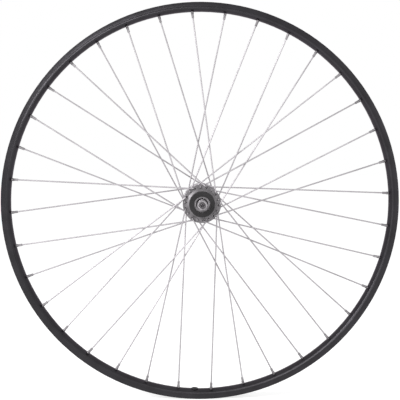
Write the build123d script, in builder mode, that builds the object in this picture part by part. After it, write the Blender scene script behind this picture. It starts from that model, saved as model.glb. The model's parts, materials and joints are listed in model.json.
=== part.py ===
from build123d import *
import os
from math import cos, radians, sin

# Front wheel of a bicycle without its tyre: a single-wall rim, 36 spokes laced three-cross and a hub
# with cup-and-cone bearings on a hollow axle. Millimetres. The origin is the wheel's centre, the wheel
# turns about Y and stands upright along Z. Its left side, with the rotor mount, faces -Y.

# Rim, sized by the seat of the tyre's bead
bead_seat_diameter = 559.0
lip_height = 6.5
rim_depth = 12.8
floor_thickness = 2.4
floor_width = 10.8
wall_thickness = 1.6
wall_lean = 0.6
channel_width = 15.0
hook_depth = 0.5
hook_height = 1.6
bead_ledge_width = 1.4
shoulder_bulge = 0.6
shoulder_thickness = 4.0
shoulder_height = 3.5
shoulder_slope = 1.0
facet_height = 2.2
facet_depth = 0.8
lip_round = 0.8
crest_round = 0.5
facet_round = 1.2

# Valve hole, midway between one spoke and the next, with a rubber grommet
valve_spoke = 8
valve_hole_diameter = 8.6
grommet_bore_diameter = 6.6
grommet_lip_diameter = 9.8
grommet_lip_thickness = 0.9

# Spokes and nipples
spoke_count = 36
crosses = 3
first_spoke_angle = -7.05
hub_twist = 1.5
spoke_diameter = 2.0
spoke_head_diameter = 3.8
spoke_head_height = 1.4
elbow_radius = 2.4
elbow_rise = 2.0
crossing_gap = 0.25
crossing_radius = 60.0
hole_stagger = 1.5
nipple_length = 14.0
nipple_diameter = 4.0
nipple_head_diameter = 5.8
nipple_head_height = 2.6
nipple_square = 3.3
nipple_square_length = 5.5
nipple_seat_gap = 0.3
nipple_slot_width = 1.0
nipple_slot_depth = 0.9
nipple_hole_diameter = 4.5
spoke_thread_reach = 2.0

# Hub shell, with each flange set in from the face of the locknut on its side
hub_width = 100.0
left_flange_inset = 29.5
right_flange_inset = 15.5
flange_diameter = 54.6
flange_thickness = 3.2
flange_edge_round = 0.8
spoke_circle_diameter = 48.0
spoke_hole_diameter = 2.7
flange_root_diameter = 38.0
waist_diameter = 27.0
shell_bore_diameter = 20.0
rotor_boss_diameter = 34.8
rotor_boss_reach = 16.5
rotor_boss_bore_diameter = 30.6
rotor_shoulder_diameter = 37.0
rotor_shoulder_thickness = 2.1
rotor_shoulder_slope = 3.4
right_end_diameter = 29.0
right_end_slope = 2.4

# Cover over the rotor mount
cover_wall = 0.8
cover_face_thickness = 1.3
cover_taper = 0.5
cover_opening_diameter = 22.5
cover_plug_wall = 1.2
cover_plug_depth = 4.0

# Axle, bearings and the pieces screwed on the axle
axle_diameter = 9.0
axle_end_diameter = 8.6
axle_end_chamfer = 0.4
axle_bore_diameter = 5.2
axle_overhang = 4.0
ball_diameter = 4.7625
balls_per_side = 10
ball_circle_diameter = 16.6
ball_outset = 1.5
cup_wall = 1.4
cup_depth = 3.3
cup_rim = 2.6
cone_nose = 2.2
cone_land = 0.5
cone_neck_length = 3.8
cone_neck_diameter = 13.8
cone_flat_width = 12.4
cone_flat_length = 2.0
dust_cap_thickness = 0.9
dust_cap_depth = 1.8
seal_thickness = 1.6
seal_diameter = 16.6
spacer_diameter = 12.4
washer_diameter = 14.4
washer_thickness = 1.2
locknut_flat_width = 13.0
locknut_height = 4.6
locknut_chamfer = 0.5

# Clearances: a running ball, a running lip, a pressed seat and a sliding fit
ball_clearance = 0.06
lip_clearance = 0.3
seat_clearance = 0.02
slip_clearance = 0.05

# Levels of the rim, measured from the axle
seat_radius = bead_seat_diameter / 2
lip_radius = seat_radius + lip_height
belly_radius = lip_radius - rim_depth
floor_radius = belly_radius + floor_thickness
hole_radius = (belly_radius + floor_radius) / 2
drill_length = 2 * rim_depth

# Levels of the hub and its bearings, measured outwards from the middle of the wheel
left_flange_offset = hub_width / 2 - left_flange_inset
right_flange_offset = hub_width / 2 - right_flange_inset
ball_radius = ball_diameter / 2
track_radius = ball_radius + ball_clearance
ball_circle_radius = ball_circle_diameter / 2
cup_radius = ball_circle_radius + track_radius + cup_wall
cup_seat_radius = cup_radius + seat_clearance
left_ball_offset = left_flange_offset + ball_outset
right_ball_offset = right_flange_offset + ball_outset
cap_outset = cup_rim + dust_cap_depth
left_bore_end = left_ball_offset + cap_outset
right_shell_end = right_ball_offset + cap_outset
cone_end = track_radius + cone_land + cone_neck_length
thread_radius = axle_diameter / 2 + slip_clearance
locknut_start = hub_width / 2 - locknut_height
washer_start = locknut_start - washer_thickness

os.makedirs("parts", exist_ok=True)


def polar(radius, angle):
    """Point in the middle plane at this radius, the angle counted from +X towards +Z."""
    return Vector(radius * cos(radians(angle)), 0, radius * sin(radians(angle)))


def side_of(number):
    """Side of the hub that a spoke runs to: -1 is left, 1 is right."""
    return -1 if number % 2 == 0 else 1


def lean_of(number):
    """Sense in which a spoke leans round the hub."""
    return 1 if number % 4 in (0, 3) else -1


def rim_angle(number):
    return first_spoke_angle - number * 360 / spoke_count


def hub_angle(number):
    return rim_angle(number) + lean_of(number) * crosses * 720 / spoke_count + hub_twist


def spoke_ends(number):
    """Hub hole and rim hole of a spoke, both drawn in the middle plane."""
    return polar(spoke_circle_diameter / 2, hub_angle(number)), polar(hole_radius, rim_angle(number))


def crossing_run(number):
    """Distance from the hub hole to the outermost crossing, with the spoke two holes along."""
    start, end = spoke_ends(number)
    other_start, other_end = spoke_ends(number - 2 * lean_of(number))
    run = end - start
    other = other_end - other_start
    between = other_start - start
    share = (between.X * other.Z - between.Z * other.X) / (run.X * other.Z - run.Z * other.X)
    return share * run.length


def spoke_plane(number):
    """Plane of a spoke: x along its run from the hub hole, y outwards along the axle."""
    start, end = spoke_ends(number)
    run = (end - start).normalized()
    side = side_of(number)
    return Plane(origin=start, x_dir=run, z_dir=Vector(-side * run.Z, 0, side * run.X))


def spoke_route(number):
    """Head, elbow, crossing and rim hole of a spoke, in its own plane."""
    start, end = spoke_ends(number)
    length = (end - start).length
    flange_offset = left_flange_offset if side_of(number) < 0 else right_flange_offset
    elbow_side = -lean_of(number)
    head = flange_offset - elbow_side * (flange_thickness / 2 + slip_clearance)
    elbow = flange_offset + elbow_side * (flange_thickness / 2 + elbow_rise)
    across = crossing_run(number)
    middle = flange_offset + (hole_stagger - flange_offset) * across / length
    woven = middle - elbow_side * (spoke_diameter + crossing_gap) / 2
    return Vector(0, head), Vector(0, elbow), Vector(across, woven), Vector(length, hole_stagger)


def nipple_plane(number):
    """Plane across a nipple, at the middle of the rim's floor and facing away from the hub."""
    plane = spoke_plane(number)
    route = spoke_route(number)
    hole = plane.from_local_coords(route[3])
    crossing = plane.from_local_coords(route[2])
    return Plane(origin=hole, x_dir=(0, 1, 0), z_dir=hole - crossing)


# Spokes, each a bent wire with a domed head
dome_radius = (spoke_head_diameter**2 / 4 + spoke_head_height**2) / (2 * spoke_head_height)
for number in range(spoke_count):
    plane = spoke_plane(number)
    head, elbow, crossing, hole = spoke_route(number)
    tip = hole + (hole - crossing).normalized() * spoke_thread_reach
    outward = (head - elbow).normalized()
    crown = head + outward * spoke_head_height
    brim = head + Vector(spoke_head_diameter / 2, 0)
    dome_centre = crown - outward * dome_radius
    dome = dome_centre + (crown + brim - dome_centre * 2).normalized() * dome_radius
    wire_start = (head + crown) / 2
    route = [plane.from_local_coords(point) for point in (wire_start, elbow, crossing, tip)]
    with BuildPart() as spoke:
        with BuildLine(plane):
            FilletPolyline(*route, radius=[elbow_radius, crossing_radius])
        with BuildSketch(Plane(origin=route[0], z_dir=route[1] - route[0])):
            Circle(spoke_diameter / 2)
        sweep()
        with BuildSketch(plane):
            with BuildLine():
                Polyline(crown, head, brim)
                ThreePointArc(brim, dome, crown)
            make_face()
        revolve(axis=Axis(plane.origin, plane.y_dir))
    spoke.part.label = f"spoke_{number + 1:02d}"
    export_step(spoke.part, f"parts/{spoke.part.label}.step")

# Nipples, one pattern of a turned and squared nipple with a screwdriver slot in its head
seat_level = floor_thickness / 2 + nipple_seat_gap
head_cone = (nipple_head_diameter - nipple_diameter) / 2
head_top = seat_level + nipple_head_height
nipple_end = head_top - nipple_length
with BuildPart() as nipple:
    with BuildSketch(Plane.XZ):
        with BuildLine():
            Polyline(
                (0, nipple_end),
                (nipple_diameter / 2, nipple_end),
                (nipple_diameter / 2, seat_level),
                (nipple_head_diameter / 2, seat_level + head_cone),
                (nipple_head_diameter / 2, head_top - head_cone),
                (nipple_diameter / 2, head_top),
                (0, head_top),
                close=True,
            )
        make_face()
    revolve(axis=Axis.Z)
    with BuildSketch(Plane.XY.offset(nipple_end)):
        Circle(nipple_diameter)
        Rectangle(nipple_square, nipple_square, mode=Mode.SUBTRACT)
    extrude(amount=nipple_square_length, mode=Mode.SUBTRACT)
    with BuildSketch(Plane.XY.offset(nipple_end)):
        Circle(spoke_diameter / 2 + slip_clearance)
    extrude(amount=nipple_length, mode=Mode.SUBTRACT)
    with BuildSketch(Plane.XY.offset(head_top)):
        Rectangle(nipple_head_diameter, nipple_slot_width)
    extrude(amount=-nipple_slot_depth, mode=Mode.SUBTRACT)

nipple_places = [Location(nipple_plane(number)) for number in range(spoke_count)]
with BuildPart() as nipples:
    with Locations(*nipple_places):
        add(nipple.part)
nipples.part.label = "nipples"
export_step(nipples.part, "parts/nipples.step")

# Rim: half of the section is drawn, mirrored and turned about the axle. Its belly is a shallow bowl, and a
# shoulder with a sloped facet stands proud of the wall, which leans in to the lip.
inner_wall = channel_width / 2 + hook_depth
outer_wall = inner_wall + wall_thickness
lip_edge = outer_wall - wall_lean
shoulder_edge = outer_wall + shoulder_bulge
facet_edge = shoulder_edge - facet_depth
ledge_edge = inner_wall - bead_ledge_width
shoulder_level = seat_radius - shoulder_thickness
facet_level = shoulder_level + facet_height
crest_level = shoulder_level + shoulder_height
wall_level = crest_level + shoulder_slope
valve_angle = (rim_angle(valve_spoke) + rim_angle(valve_spoke + 1)) / 2
valve_plane = Plane(origin=polar(hole_radius, valve_angle), x_dir=(0, 1, 0), z_dir=polar(1, valve_angle))
with BuildPart() as rim:
    with BuildSketch(Plane.YZ) as rim_section:
        with BuildLine():
            TangentArc((0, belly_radius), (facet_edge, shoulder_level), tangent=(1, 0))
            Polyline(
                (facet_edge, shoulder_level),
                (shoulder_edge, facet_level),
                (shoulder_edge, crest_level),
                (outer_wall, wall_level),
            )
            TangentArc((outer_wall, wall_level), (lip_edge, lip_radius), tangent=(0, 1))
            Polyline(
                (lip_edge, lip_radius),
                (channel_width / 2, lip_radius),
                (channel_width / 2, lip_radius - hook_height),
                (inner_wall, lip_radius - hook_height - hook_depth),
                (inner_wall, seat_radius),
                (ledge_edge, seat_radius),
                (floor_width / 2, floor_radius),
                (0, floor_radius),
                (0, belly_radius),
            )
        make_face()
        for corner, radius in (
            ((lip_edge, lip_radius), lip_round),
            ((facet_edge, shoulder_level), facet_round),
            ((shoulder_edge, facet_level), crest_round),
            ((shoulder_edge, crest_level), crest_round),
        ):
            fillet(rim_section.vertices().sort_by_distance(corner)[0], radius)
        mirror(about=Plane.YZ)
    revolve(axis=Axis.Y)
    with Locations(*nipple_places):
        Cylinder(nipple_hole_diameter / 2, drill_length, mode=Mode.SUBTRACT)
    with Locations(Location(valve_plane)):
        Cylinder(valve_hole_diameter / 2, drill_length, mode=Mode.SUBTRACT)
rim.part.label = "rim"
export_step(rim.part, "parts/rim.step")

# Rubber grommet in the valve hole, with a lip on each side of the floor
lip_level = floor_thickness / 2 + slip_clearance
with BuildPart() as valve_grommet:
    with Locations(Location(valve_plane)):
        Cylinder(valve_hole_diameter / 2 - slip_clearance, 2 * lip_level)
    for level in (-lip_level - grommet_lip_thickness / 2, lip_level + grommet_lip_thickness / 2):
        with Locations(Location(valve_plane.offset(level))):
            Cylinder(grommet_lip_diameter / 2, grommet_lip_thickness)
    with Locations(Location(valve_plane)):
        Cylinder(grommet_bore_diameter / 2, drill_length, mode=Mode.SUBTRACT)
valve_grommet.part.label = "valve_grommet"
export_step(valve_grommet.part, "parts/valve_grommet.step")

# Hub shell: one forging turned about the axle, then drilled for the spokes
half_flange = flange_thickness / 2
flange_radius = flange_diameter / 2
root_radius = flange_root_diameter / 2
boss_end = left_flange_offset + rotor_boss_reach
shoulder_face = left_flange_offset + half_flange + rotor_shoulder_thickness
waist = Vector((right_flange_offset - left_flange_offset) / 2, waist_diameter / 2)
left_root = Vector(half_flange - left_flange_offset, root_radius)
right_root = Vector(right_flange_offset - half_flange, root_radius)
with BuildPart() as hub_shell:
    with BuildSketch(Plane.YZ):
        with BuildLine():
            ThreePointArc(left_root, waist, right_root)
            Polyline(
                right_root,
                (right_flange_offset - half_flange, flange_radius),
                (right_flange_offset + half_flange, flange_radius),
                (right_flange_offset + half_flange, right_end_diameter / 2 + right_end_slope),
                (right_flange_offset + half_flange + right_end_slope, right_end_diameter / 2),
                (right_shell_end, right_end_diameter / 2),
                (right_shell_end, cup_seat_radius),
                (right_ball_offset - cup_depth, cup_seat_radius),
                (right_ball_offset - cup_depth, shell_bore_diameter / 2),
                (cup_depth - left_ball_offset, shell_bore_diameter / 2),
                (cup_depth - left_ball_offset, cup_seat_radius),
                (-left_bore_end, cup_seat_radius),
                (-left_bore_end, rotor_boss_bore_diameter / 2),
                (-boss_end, rotor_boss_bore_diameter / 2),
                (-boss_end, rotor_boss_diameter / 2),
                (-shoulder_face, rotor_boss_diameter / 2),
                (-shoulder_face, rotor_shoulder_diameter / 2),
                (-left_flange_offset - half_flange, rotor_shoulder_diameter / 2 + rotor_shoulder_slope),
                (-left_flange_offset - half_flange, flange_radius),
                (half_flange - left_flange_offset, flange_radius),
                left_root,
            )
        make_face()
    revolve(axis=Axis.Y)
    flange_edges = edges().filter_by(GeomType.CIRCLE).filter_by(Plane.XZ).group_by(SortBy.RADIUS)[-1]
    fillet(flange_edges, flange_edge_round)
    for first, level in ((0, left_flange_offset), (1, -right_flange_offset)):
        with BuildSketch(Plane.XZ.offset(level - half_flange)):
            with PolarLocations(spoke_circle_diameter / 2, spoke_count // 2, start_angle=hub_angle(first)):
                Circle(spoke_hole_diameter / 2)
        extrude(amount=flange_thickness, mode=Mode.SUBTRACT)
hub_shell.part.label = "hub_shell"
export_step(hub_shell.part, "parts/hub_shell.step")

# Plastic cover that plugs into the rotor mount
cover_inner = rotor_boss_diameter / 2 + slip_clearance
cover_outer = cover_inner + cover_wall
plug_radius = rotor_boss_bore_diameter / 2 - slip_clearance
with BuildPart() as rotor_mount_cover:
    with BuildSketch(Plane.YZ):
        with BuildLine():
            Polyline(
                (-shoulder_face, cover_inner),
                (-shoulder_face, cover_outer),
                (-boss_end - cover_face_thickness, cover_outer - cover_taper),
                (-boss_end - cover_face_thickness, cover_opening_diameter / 2),
                (-boss_end, cover_opening_diameter / 2),
                (-boss_end, plug_radius - cover_plug_wall),
                (cover_plug_depth - boss_end, plug_radius - cover_plug_wall),
                (cover_plug_depth - boss_end, plug_radius),
                (-boss_end, plug_radius),
                (-boss_end, cover_inner),
                close=True,
            )
        make_face()
    revolve(axis=Axis.Y)
rotor_mount_cover.part.label = "rotor_mount_cover"
export_step(rotor_mount_cover.part, "parts/rotor_mount_cover.step")

# Axle: the threaded length between the locknut faces and a turned stub at each end
axle_length = hub_width + 2 * axle_overhang
with BuildPart() as axle:
    with BuildSketch(Plane.XZ.offset(-axle_length / 2)):
        Circle(axle_end_diameter / 2)
    extrude(amount=axle_length)
    chamfer(edges(), axle_end_chamfer)
    with BuildSketch(Plane.XZ.offset(-hub_width / 2)):
        Circle(axle_diameter / 2)
    extrude(amount=hub_width)
    with BuildSketch(Plane.XZ.offset(-axle_length / 2)):
        Circle(axle_bore_diameter / 2)
    extrude(amount=axle_length, mode=Mode.SUBTRACT)
axle.part.label = "axle"
export_step(axle.part, "parts/axle.step")

# Bearings, seals and nuts, the same on both sides apart from their distance from the middle
for name, side, ball_offset in (("left", -1, left_ball_offset), ("right", 1, right_ball_offset)):
    track_centre = Vector(side * ball_offset, ball_circle_radius)

    # Cup pressed into the shell, with its track on the inner and outer quarter of the balls
    track_back = track_centre + Vector(-side * track_radius, 0)
    track_top = track_centre + Vector(0, track_radius)
    track_middle = track_centre + Vector(-side * track_radius, track_radius).normalized() * track_radius
    cup_back = side * (ball_offset - cup_depth)
    cup_front = side * (ball_offset + cup_rim)
    with BuildPart() as bearing_cup:
        with BuildSketch(Plane.YZ):
            with BuildLine():
                ThreePointArc(track_back, track_middle, track_top)
                Polyline(
                    track_top,
                    (cup_front, track_top.Y),
                    (cup_front, cup_radius),
                    (cup_back, cup_radius),
                    (cup_back, ball_circle_radius),
                    track_back,
                )
            make_face()
        revolve(axis=Axis.Y)
    bearing_cup.part.label = f"{name}_bearing_cup"
    export_step(bearing_cup.part, f"parts/{name}_bearing_cup.step")

    # Loose balls
    with BuildPart(Plane.XZ.offset(-side * ball_offset)) as balls:
        with PolarLocations(ball_circle_radius, balls_per_side):
            Sphere(ball_radius)
    balls.part.label = f"{name}_balls"
    export_step(balls.part, f"parts/{name}_balls.step")

    # Cone with two flats for a thin spanner
    track_front = track_centre + Vector(side * track_radius, 0)
    track_root = track_centre - Vector(0, track_radius)
    track_bend = track_centre + Vector(side * track_radius, -track_radius).normalized() * track_radius
    land_end = side * (ball_offset + track_radius + cone_land)
    cone_back = side * (ball_offset - cone_nose)
    cone_front = side * (ball_offset + cone_end)
    with BuildPart() as cone:
        with BuildSketch(Plane.YZ):
            with BuildLine():
                ThreePointArc(track_root, track_bend, track_front)
                Polyline(
                    track_front,
                    (land_end, track_front.Y),
                    (land_end, cone_neck_diameter / 2),
                    (cone_front, cone_neck_diameter / 2),
                    (cone_front, thread_radius),
                    (cone_back, thread_radius),
                    (cone_back, track_root.Y),
                    track_root,
                )
            make_face()
        revolve(axis=Axis.Y)
        with BuildSketch(Plane.XZ.offset(-cone_front)):
            Circle(cone_neck_diameter)
            Rectangle(2 * cone_neck_diameter, cone_flat_width, mode=Mode.SUBTRACT)
        extrude(amount=side * cone_flat_length, mode=Mode.SUBTRACT)
    cone.part.label = f"{name}_cone"
    export_step(cone.part, f"parts/{name}_cone.step")

    # Rubber seal on the cone and the dust cap that runs round it
    seal_start = ball_offset + track_radius + cone_land
    with BuildPart() as seal:
        with BuildSketch(Plane.XZ.offset(-side * seal_start)):
            Circle(seal_diameter / 2)
            Circle(cone_neck_diameter / 2 + slip_clearance, mode=Mode.SUBTRACT)
        extrude(amount=-side * seal_thickness)
    seal.part.label = f"{name}_seal"
    export_step(seal.part, f"parts/{name}_seal.step")

    cap_start = side * (ball_offset + cup_rim)
    cap_end = side * (ball_offset + cup_rim + dust_cap_depth)
    cap_inside = side * (ball_offset + cup_rim + dust_cap_depth - dust_cap_thickness)
    with BuildPart() as dust_cap:
        with BuildSketch(Plane.YZ):
            with BuildLine():
                Polyline(
                    (cap_start, cup_radius - dust_cap_thickness),
                    (cap_start, cup_radius),
                    (cap_end, cup_radius),
                    (cap_end, seal_diameter / 2 + lip_clearance),
                    (cap_inside, seal_diameter / 2 + lip_clearance),
                    (cap_inside, cup_radius - dust_cap_thickness),
                    close=True,
                )
            make_face()
        revolve(axis=Axis.Y)
    dust_cap.part.label = f"{name}_dust_cap"
    export_step(dust_cap.part, f"parts/{name}_dust_cap.step")

    # Washer and locknut
    with BuildPart() as lock_washer:
        with BuildSketch(Plane.XZ.offset(-side * washer_start)):
            Circle(washer_diameter / 2)
            Circle(thread_radius, mode=Mode.SUBTRACT)
        extrude(amount=-side * washer_thickness)
    lock_washer.part.label = f"{name}_lock_washer"
    export_step(lock_washer.part, f"parts/{name}_lock_washer.step")

    with BuildPart() as locknut:
        with BuildSketch(Plane.XZ.offset(-side * locknut_start)):
            RegularPolygon(locknut_flat_width / 2, 6, major_radius=False)
        extrude(amount=-side * locknut_height)
        outer_face = faces().sort_by(Axis.Y)[0 if side < 0 else -1]
        chamfer(outer_face.edges(), locknut_chamfer)
        with BuildSketch(Plane.XZ.offset(-side * locknut_start)):
            Circle(thread_radius)
        extrude(amount=-side * locknut_height, mode=Mode.SUBTRACT)
    locknut.part.label = f"{name}_locknut"
    export_step(locknut.part, f"parts/{name}_locknut.step")

# Spacers that fill the axle between each cone and its washer
for name, side, ball_offset in (("left", -1, left_ball_offset), ("right", 1, right_ball_offset)):
    spacer_start = ball_offset + cone_end
    with BuildPart() as spacer:
        with BuildSketch(Plane.XZ.offset(-side * spacer_start)):
            Circle(spacer_diameter / 2)
            Circle(thread_radius, mode=Mode.SUBTRACT)
        extrude(amount=-side * (washer_start - spacer_start))
    spacer.part.label = f"{name}_spacer"
    export_step(spacer.part, f"parts/{name}_spacer.step")
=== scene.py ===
import json
from math import cos, radians, sin, tau

import bmesh
import bpy
from mathutils import Matrix, Vector


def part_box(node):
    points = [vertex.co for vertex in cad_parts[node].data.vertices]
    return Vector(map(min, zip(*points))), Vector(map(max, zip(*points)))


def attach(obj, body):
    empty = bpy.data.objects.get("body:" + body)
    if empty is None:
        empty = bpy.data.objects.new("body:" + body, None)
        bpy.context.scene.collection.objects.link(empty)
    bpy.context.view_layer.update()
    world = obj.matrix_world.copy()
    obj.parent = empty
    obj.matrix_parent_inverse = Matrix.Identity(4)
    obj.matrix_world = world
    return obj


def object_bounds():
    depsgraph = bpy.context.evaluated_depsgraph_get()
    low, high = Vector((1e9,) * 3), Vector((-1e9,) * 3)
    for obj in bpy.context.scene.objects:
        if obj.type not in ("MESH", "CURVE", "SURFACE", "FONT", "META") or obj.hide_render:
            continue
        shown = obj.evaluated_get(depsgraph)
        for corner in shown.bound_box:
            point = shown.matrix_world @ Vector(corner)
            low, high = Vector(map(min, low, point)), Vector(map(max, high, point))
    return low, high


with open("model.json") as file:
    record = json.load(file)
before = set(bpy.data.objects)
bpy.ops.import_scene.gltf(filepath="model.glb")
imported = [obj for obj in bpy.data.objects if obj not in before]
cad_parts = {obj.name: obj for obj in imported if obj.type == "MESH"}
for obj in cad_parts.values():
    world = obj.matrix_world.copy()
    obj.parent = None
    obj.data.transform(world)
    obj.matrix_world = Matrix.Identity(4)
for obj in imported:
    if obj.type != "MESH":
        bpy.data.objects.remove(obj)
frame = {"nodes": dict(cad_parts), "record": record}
cad_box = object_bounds()

# Camera, in metres and degrees: it looks at a point beside the wheel's centre, from the left and above
CAMERA_FROM_LEFT = 2.36
CAMERA_FROM_ABOVE = 3.39
CAMERA_ROLL = 0.144
CAMERA_DISTANCE = 1.1582
AIM_RIGHT = 0.02025
AIM_UP = 0.01711
FOCAL_LENGTH_PIXELS = 800.6
SHIFT_RIGHT_PIXELS = -15.63
SHIFT_UP_PIXELS = -8.98
IMAGE_PIXELS = 400
SENSOR_WIDTH_MM = 36.0

# Stage and light, in metres and watts
WHITE = (1.0, 1.0, 1.0, 1.0)
FLOOR_HALF_SIZE = 8.0
FLOOR_COLOUR = (0.62, 0.62, 0.62, 1.0)
FLOOR_ROUGHNESS = 0.9
FLOOR_SPECULAR = 0.0
FLOOR_GLOW = 0.75
WORLD_AMBIENT = 0.42
BACKGROUND_STRENGTH = 1.0
KEY_POWER = 41.0
KEY_SIZE = 0.7
KEY_PLACE = (-1.88, -1.23, 1.18)
FRONT_POWER = 3.6
FRONT_SIZE = 0.35
FRONT_PLACE = (-0.31, -1.43, 0.344)
FILL_POWER = 4.0
FILL_SIZE = 1.4
FILL_PLACE = (1.9, -1.9, 0.5)

# Joint of the rim's hoop, opposite the valve
RIM_RADIUS = 0.28
RIM_SEAM_ANGLE = radians(87.95)
RIM_SEAM_WIDTH = 0.00025

# Flanges of the hub: midway between them, and from there to the middle of each
FLANGE_MIDDLE = 0.007
FLANGE_REACH = 0.0275

# Heads and elbows of the spokes lie within this distance of the axle, and are coloured darker there
HEAD_ZONE = 0.0255

# Bore drilled through the axle, which is bare steel
BORE_RADIUS = 0.00262

# Greys of the wheel lean a little to magenta
GREEN_SHARE = 0.955

# Most of a noise lies between these values
NOISE_LOW = 0.3
NOISE_HIGH = 0.7

# Sockets of a mixing node for its two colours and the mixed one
MIX_FIRST = 6
MIX_SECOND = 7
MIX_RESULT = 2

# Thread on the stubs of the axle
STUB_RADIUS = 0.0043
THREAD_PITCH = 0.001
THREAD_HEIGHT = 0.00022
THREAD_SINK = 0.00003
THREAD_ROOT_SHARE = 0.42
THREAD_CREST_SHARE = 0.08
THREAD_START = 0.0005
THREAD_TURNS = 3
THREAD_STEPS = 40
THREAD_RUN_OUT = 10

# Teeth on the outer face of each locknut, which grip the fork
TOOTH_COUNT = 36
TOOTH_INNER_RADIUS = 0.00475
TOOTH_OUTER_RADIUS = 0.00595
TOOTH_HEIGHT = 0.00014
TOOTH_ROOT = 0.00004


class Finish:
    """A Principled surface and the nodes that vary it over the part's own coordinates."""

    def __init__(self, name, metallic):
        self.material = bpy.data.materials.new(name)
        self.material.use_nodes = True
        self.tree = self.material.node_tree
        self.shader = self.tree.nodes["Principled BSDF"]
        self.link(metallic, self.shader, "Metallic")

    def link(self, source, node, socket):
        """Feeds a socket from another node, or sets it to a constant."""
        if isinstance(source, bpy.types.NodeSocket):
            self.tree.links.new(source, node.inputs[socket])
        else:
            node.inputs[socket].default_value = source

    def place(self):
        """Coordinates of the piece, in metres."""
        return self.tree.nodes.new("ShaderNodeTexCoord").outputs["Object"]

    def math(self, operation, first, second=0.0):
        node = self.tree.nodes.new("ShaderNodeMath")
        node.operation = operation
        self.link(first, node, 0)
        self.link(second, node, 1)
        return node.outputs[0]

    def round_axle(self):
        """Distance from the axle, angle round it and place along it."""
        split = self.tree.nodes.new("ShaderNodeSeparateXYZ")
        self.link(self.place(), split, 0)
        x, along, z = split.outputs
        squares = self.math("ADD", self.math("MULTIPLY", x, x), self.math("MULTIPLY", z, z))
        return self.math("SQRT", squares), self.math("ARCTAN2", z, x), along

    def noise(self, vector, scale, detail=3.0):
        node = self.tree.nodes.new("ShaderNodeTexNoise")
        self.link(vector, node, "Vector")
        self.link(scale, node, "Scale")
        self.link(detail, node, "Detail")
        return node.outputs["Fac"]

    def turned_lines(self, scale, detail, stretch):
        """Noise drawn out round the axle, as a lathe or a die leaves it."""
        radius, angle, along = self.round_axle()
        join = self.tree.nodes.new("ShaderNodeCombineXYZ")
        self.link(radius, join, 0)
        self.link(self.math("MULTIPLY", angle, stretch), join, 1)
        self.link(along, join, 2)
        return self.noise(join.outputs[0], scale, detail)

    def spread(self, noise, low, high):
        """Maps the middle of a noise to the range from low to high."""
        node = self.tree.nodes.new("ShaderNodeMapRange")
        self.link(noise, node, "Value")
        self.link(NOISE_LOW, node, "From Min")
        self.link(NOISE_HIGH, node, "From Max")
        self.link(low, node, "To Min")
        self.link(high, node, "To Max")
        return node.outputs[0]

    def mix(self, share, first, second):
        node = self.tree.nodes.new("ShaderNodeMix")
        node.data_type = "RGBA"
        self.link(share, node, "Factor")
        self.link(first, node, MIX_FIRST)
        self.link(second, node, MIX_SECOND)
        return node.outputs[MIX_RESULT]

    def cloudy(self, scale, dark, light):
        """Colour that drifts from dark to light over the piece."""
        return self.mix(self.spread(self.noise(self.place(), scale), 0.0, 1.0), dark, light)

    def colour(self, source):
        self.link(source, self.shader, "Base Color")

    def roughness(self, noise, low, high):
        """Roughness that follows a noise from low to high."""
        self.link(self.spread(noise, low, high), self.shader, "Roughness")

    def bump(self, height, depth):
        """Surface relief of this depth in metres."""
        node = self.tree.nodes.new("ShaderNodeBump")
        self.link(height, node, "Height")
        self.link(depth, node, "Distance")
        self.link(node.outputs[0], self.shader, "Normal")


def grey(level, blue=1.0):
    """Grey of this level, with blue as a share of it."""
    return (level, level * GREEN_SHARE, level * blue, 1.0)


def rim_finish():
    """Black anodised extrusion: satin, with fine lines round the hoop, cloudy tone and a joint."""
    finish = Finish("rim_black_anodised", metallic=1.0)
    edge_tint = grey(0.6)
    finish.link(edge_tint, finish.shader, "Specular Tint")
    _, angle, _ = finish.round_axle()
    from_seam = finish.math("ABSOLUTE", finish.math("SUBTRACT", angle, RIM_SEAM_ANGLE))
    seam = finish.math("LESS_THAN", from_seam, RIM_SEAM_WIDTH / 2 / RIM_RADIUS)
    tone = finish.cloudy(scale=38.0, dark=grey(0.032, blue=1.04), light=grey(0.044, blue=1.06))
    seam_tone = grey(0.015)
    finish.colour(finish.mix(seam, tone, seam_tone))
    lines = finish.turned_lines(scale=2600.0, detail=4.0, stretch=0.004)
    finish.roughness(lines, low=0.25, high=0.33)
    finish.bump(lines, depth=0.00001)
    return finish.material


def spoke_finish():
    """Drawn stainless wire, coloured darker at the heads and elbows."""
    finish = Finish("drawn_stainless", metallic=1.0)
    radius, _, _ = finish.round_axle()
    head = finish.math("LESS_THAN", radius, HEAD_ZONE)
    wire_tone = finish.cloudy(scale=24.0, dark=grey(0.37), light=grey(0.47))
    head_tone = finish.cloudy(scale=300.0, dark=grey(0.2), light=grey(0.3))
    finish.colour(finish.mix(head, wire_tone, head_tone))
    finish.roughness(finish.noise(finish.place(), scale=900.0), low=0.44, high=0.52)
    return finish.material


def nipple_finish():
    """Nickel plated brass."""
    finish = Finish("nickel_plate", metallic=1.0)
    finish.colour(finish.cloudy(scale=160.0, dark=grey(0.2), light=grey(0.34)))
    finish.roughness(finish.noise(finish.place(), scale=700.0), low=0.46, high=0.58)
    return finish.material


def hub_finish():
    """Satin alloy with turned lines, darker on the outer faces of the flanges; the shell between them
    carries painted light, lighter as the far flange looks when lit from above.
    """
    finish = Finish("satin_alloy", metallic=0.85)
    _, _, along = finish.round_axle()
    from_middle = finish.math("ABSOLUTE", finish.math("SUBTRACT", along, FLANGE_MIDDLE))
    outer = finish.math("GREATER_THAN", from_middle, FLANGE_REACH)
    # Painted light: the lighter tone between the flanges stands in for the far flange lit from above
    painted_light_tone = finish.cloudy(scale=130.0, dark=grey(0.39), light=grey(0.51))
    outer_tone = finish.cloudy(scale=130.0, dark=grey(0.135), light=grey(0.225))
    finish.colour(finish.mix(outer, painted_light_tone, outer_tone))
    lines = finish.turned_lines(scale=3200.0, detail=3.0, stretch=0.002)
    finish.roughness(lines, low=0.44, high=0.58)
    finish.bump(lines, depth=0.00003)
    return finish.material


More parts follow.
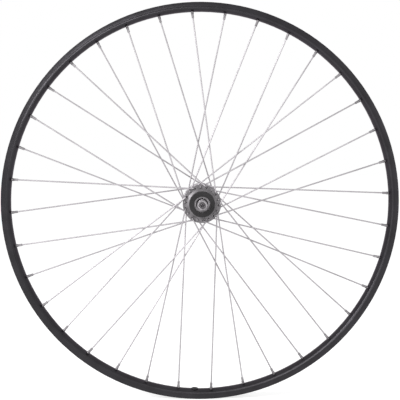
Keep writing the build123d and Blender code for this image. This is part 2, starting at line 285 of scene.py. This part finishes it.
def moulded(name, specular):
    """Plastic or rubber that mirrors this much of the light."""
    finish = Finish(name, metallic=0.0)
    finish.link(specular, finish.shader, "Specular IOR Level")
    return finish


def cover_finish():
    """Moulded black plastic with a fine grain."""
    finish = moulded("moulded_black", specular=0.2)
    finish.colour(finish.cloudy(scale=90.0, dark=grey(0.0245), light=grey(0.035)))
    grain = finish.noise(finish.place(), scale=2200.0)
    finish.roughness(grain, low=0.42, high=0.6)
    finish.bump(grain, depth=0.00004)
    return finish.material


def rubber_finish():
    """Matt black rubber."""
    finish = moulded("matt_rubber", specular=0.3)
    finish.colour(finish.cloudy(scale=400.0, dark=grey(0.036), light=grey(0.048)))
    grain = finish.noise(finish.place(), scale=1800.0)
    finish.roughness(grain, low=0.62, high=0.78)
    finish.bump(grain, depth=0.00003)
    return finish.material


def add_lathe_rings(finish, low, high):
    """Fine rings that a lathe leaves, with a roughness from low to high."""
    rings = finish.turned_lines(scale=5200.0, detail=2.0, stretch=0.0008)
    finish.roughness(rings, low, high)
    finish.bump(rings, depth=0.00001)


def turned_steel(name, dark, light, low, high):
    """Steel turned on a lathe, with a tone from dark to light and a roughness from low to high."""
    finish = Finish(name, metallic=1.0)
    finish.colour(finish.cloudy(scale=240.0, dark=grey(dark), light=grey(light)))
    add_lathe_rings(finish, low, high)
    return finish.material


def axle_finish():
    """Black oxide outside and bare drilled steel in the bore."""
    finish = Finish("black_oxide_steel", metallic=1.0)
    radius, _, _ = finish.round_axle()
    bore = finish.math("LESS_THAN", radius, BORE_RADIUS)
    oxide_tone = finish.cloudy(scale=240.0, dark=grey(0.07), light=grey(0.12))
    bare_tone = grey(0.8)
    finish.colour(finish.mix(bore, oxide_tone, bare_tone))
    add_lathe_rings(finish, low=0.32, high=0.46)
    return finish.material


def make_finishes():
    """One finish for each slot of the record."""
    finishes = {
        "rim_black": rim_finish(),
        "spoke_steel": spoke_finish(),
        "nipple_nickel": nipple_finish(),
        "grommet_rubber": rubber_finish(),
        "hub_alloy": hub_finish(),
        "cover_plastic": cover_finish(),
        "axle_steel": axle_finish(),
        "bearing_steel": turned_steel("ground_steel", dark=0.55, light=0.65, low=0.12, high=0.22),
        "cap_steel": turned_steel("plated_cap", dark=0.26, light=0.38, low=0.24, high=0.36),
        "nut_steel": turned_steel("plated_nut", dark=0.22, light=0.32, low=0.32, high=0.44),
        "spacer_steel": turned_steel("dark_steel", dark=0.05, light=0.09, low=0.3, high=0.45),
    }
    finishes["seal_rubber"] = finishes["grommet_rubber"]
    return finishes


def dress_nodes():
    """Gives every node of the wheel the finish of its slot."""
    slots = {part["node"]: part["material_slot"] for part in frame["record"]["subparts"]}
    for name, node in frame["nodes"].items():
        node.data.materials.clear()
        node.data.materials.append(finishes[slots[name]])


def point_round_axle(radius, angle, along):
    """Point at this distance from the axle, angle round it and place along it."""
    return Vector((radius * cos(angle), along, radius * sin(angle)))


def add_axle_piece(name, rows, closed, slot):
    """Skins rows of points, each row one section, into a solid that rides on the axle."""
    shape = bmesh.new()
    sections = [[shape.verts.new(point) for point in row] for row in rows]
    ring = sections + sections[:1] if closed else sections
    for here, there in zip(ring, ring[1:]):
        for corner in range(len(here)):
            after = (corner + 1) % len(here)
            shape.faces.new((here[corner], here[after], there[after], there[corner]))
    if not closed:
        shape.faces.new(sections[0])
        shape.faces.new(sections[-1])
    bmesh.ops.recalc_face_normals(shape, faces=shape.faces)
    mesh = bpy.data.meshes.new(name)
    shape.to_mesh(mesh)
    shape.free()
    mesh.materials.append(finishes[slot])
    piece = bpy.data.objects.new(name, mesh)
    bpy.context.scene.collection.objects.link(piece)
    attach(piece, "axle_set")


def add_thread(name, face, side):
    """Fine thread on one stub of the axle: a ridge that runs out at both of its ends."""
    last = THREAD_TURNS * THREAD_STEPS
    root = STUB_RADIUS - THREAD_SINK
    rows = []
    for step in range(last + 1):
        height = THREAD_HEIGHT * min(1.0, step / THREAD_RUN_OUT, (last - step) / THREAD_RUN_OUT)
        crest = STUB_RADIUS + height
        section = (
            (root, -THREAD_ROOT_SHARE),
            (crest, -THREAD_CREST_SHARE),
            (crest, THREAD_CREST_SHARE),
            (root, THREAD_ROOT_SHARE),
        )
        angle = tau * step / THREAD_STEPS
        middle = THREAD_START + THREAD_PITCH * step / THREAD_STEPS
        rows.append([
            point_round_axle(radius, angle, face + side * (middle + share * THREAD_PITCH))
            for radius, share in section
        ])
    add_axle_piece(name, rows, closed=False, slot="axle_steel")


def add_teeth(name, face, side):
    """Ring of radial teeth that stands on the face of a locknut."""
    rows = []
    for station in range(2 * TOOTH_COUNT):
        height = TOOTH_HEIGHT if station % 2 else TOOTH_ROOT
        top = face + side * height
        angle = tau * station / (2 * TOOTH_COUNT)
        rows.append([
            point_round_axle(TOOTH_INNER_RADIUS, angle, face),
            point_round_axle(TOOTH_OUTER_RADIUS, angle, face),
            point_round_axle(TOOTH_OUTER_RADIUS, angle, top),
            point_round_axle(TOOTH_INNER_RADIUS, angle, top),
        ])
    add_axle_piece(name, rows, closed=True, slot="nut_steel")


def seen_directly(tree):
    """1 for rays that come straight from the camera or by way of a gloss or glass, else 0."""
    path = tree.nodes.new("ShaderNodeLightPath")
    total = path.outputs["Is Camera Ray"]
    for name in ("Is Glossy Ray", "Is Transmission Ray"):
        larger = tree.nodes.new("ShaderNodeMath")
        larger.operation = "MAXIMUM"
        tree.links.new(total, larger.inputs[0])
        tree.links.new(path.outputs[name], larger.inputs[1])
        total = larger.outputs[0]
    return total


def add_floor():
    """Pale floor that the wheel stands on. It glows only where it is seen or mirrored."""
    half = FLOOR_HALF_SIZE
    level = cad_box[0].z
    mesh = bpy.data.meshes.new("floor")
    corners = [(-half, -half, level), (half, -half, level), (half, half, level), (-half, half, level)]
    mesh.from_pydata(corners, [], [(0, 1, 2, 3)])
    floor = bpy.data.objects.new("floor", mesh)
    bpy.context.scene.collection.objects.link(floor)
    material = bpy.data.materials.new("pale_floor")
    material.use_nodes = True
    tree = material.node_tree
    shader = tree.nodes["Principled BSDF"]
    shader.inputs["Base Color"].default_value = FLOOR_COLOUR
    shader.inputs["Roughness"].default_value = FLOOR_ROUGHNESS
    shader.inputs["Specular IOR Level"].default_value = FLOOR_SPECULAR
    shader.inputs["Emission Color"].default_value = WHITE
    glow = tree.nodes.new("ShaderNodeMath")
    glow.operation = "MULTIPLY"
    tree.links.new(seen_directly(tree), glow.inputs[0])
    glow.inputs[1].default_value = FLOOR_GLOW
    tree.links.new(glow.outputs[0], shader.inputs["Emission Strength"])
    mesh.materials.append(material)


def add_world():
    """White where it is seen or mirrored, and a plain grey light elsewhere."""
    world = bpy.data.worlds.new("studio")
    bpy.context.scene.world = world
    world.use_nodes = True
    tree = world.node_tree
    background = tree.nodes["Background"]
    background.inputs["Color"].default_value = WHITE
    strength = tree.nodes.new("ShaderNodeMapRange")
    tree.links.new(seen_directly(tree), strength.inputs["Value"])
    strength.inputs["To Min"].default_value = WORLD_AMBIENT
    strength.inputs["To Max"].default_value = BACKGROUND_STRENGTH
    tree.links.new(strength.outputs[0], background.inputs["Strength"])


def add_lamp(name, place, power, size):
    """Square soft box that faces the wheel's centre."""
    lamp = bpy.data.lights.new(name, "AREA")
    lamp.energy = power
    lamp.size = size
    holder = bpy.data.objects.new(name, lamp)
    bpy.context.scene.collection.objects.link(holder)
    holder.location = place
    holder.rotation_mode = "QUATERNION"
    holder.rotation_quaternion = (-Vector(place)).to_track_quat("-Z", "Y")


def add_camera():
    """Camera at the photo's viewing angle, with a slight roll and a shifted frame."""
    left = radians(CAMERA_FROM_LEFT)
    above = radians(CAMERA_FROM_ABOVE)
    roll = radians(CAMERA_ROLL)
    forward = Vector((sin(left) * cos(above), cos(left) * cos(above), -sin(above)))
    level_right = forward.cross(Vector((0, 0, 1))).normalized()
    level_up = level_right.cross(forward)
    right = cos(roll) * level_right + sin(roll) * level_up
    up = cos(roll) * level_up - sin(roll) * level_right
    lens = bpy.data.cameras.new("camera")
    lens.sensor_width = SENSOR_WIDTH_MM
    lens.lens = FOCAL_LENGTH_PIXELS * SENSOR_WIDTH_MM / IMAGE_PIXELS
    lens.shift_x = SHIFT_RIGHT_PIXELS / IMAGE_PIXELS
    lens.shift_y = SHIFT_UP_PIXELS / IMAGE_PIXELS
    camera = bpy.data.objects.new("camera", lens)
    bpy.context.scene.collection.objects.link(camera)
    place = AIM_RIGHT * right + AIM_UP * up - CAMERA_DISTANCE * forward
    turn = Matrix((right, up, -forward)).transposed().to_4x4()
    camera.matrix_world = Matrix.Translation(place) @ turn
    bpy.context.scene.camera = camera


finishes = make_finishes()
dress_nodes()
left_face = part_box("left_locknut")[0].y
right_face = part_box("right_locknut")[1].y
for name, face, side in (("left", left_face, -1), ("right", right_face, 1)):
    add_thread(f"{name}_axle_thread", face, side)
    add_teeth(f"{name}_locknut_teeth", face, side)
add_floor()
add_world()
add_lamp("key", KEY_PLACE, KEY_POWER, KEY_SIZE)
add_lamp("front", FRONT_PLACE, FRONT_POWER, FRONT_SIZE)
add_lamp("fill", FILL_PLACE, FILL_POWER, FILL_SIZE)
add_camera()
bpy.context.scene.view_settings.view_transform = "Standard"
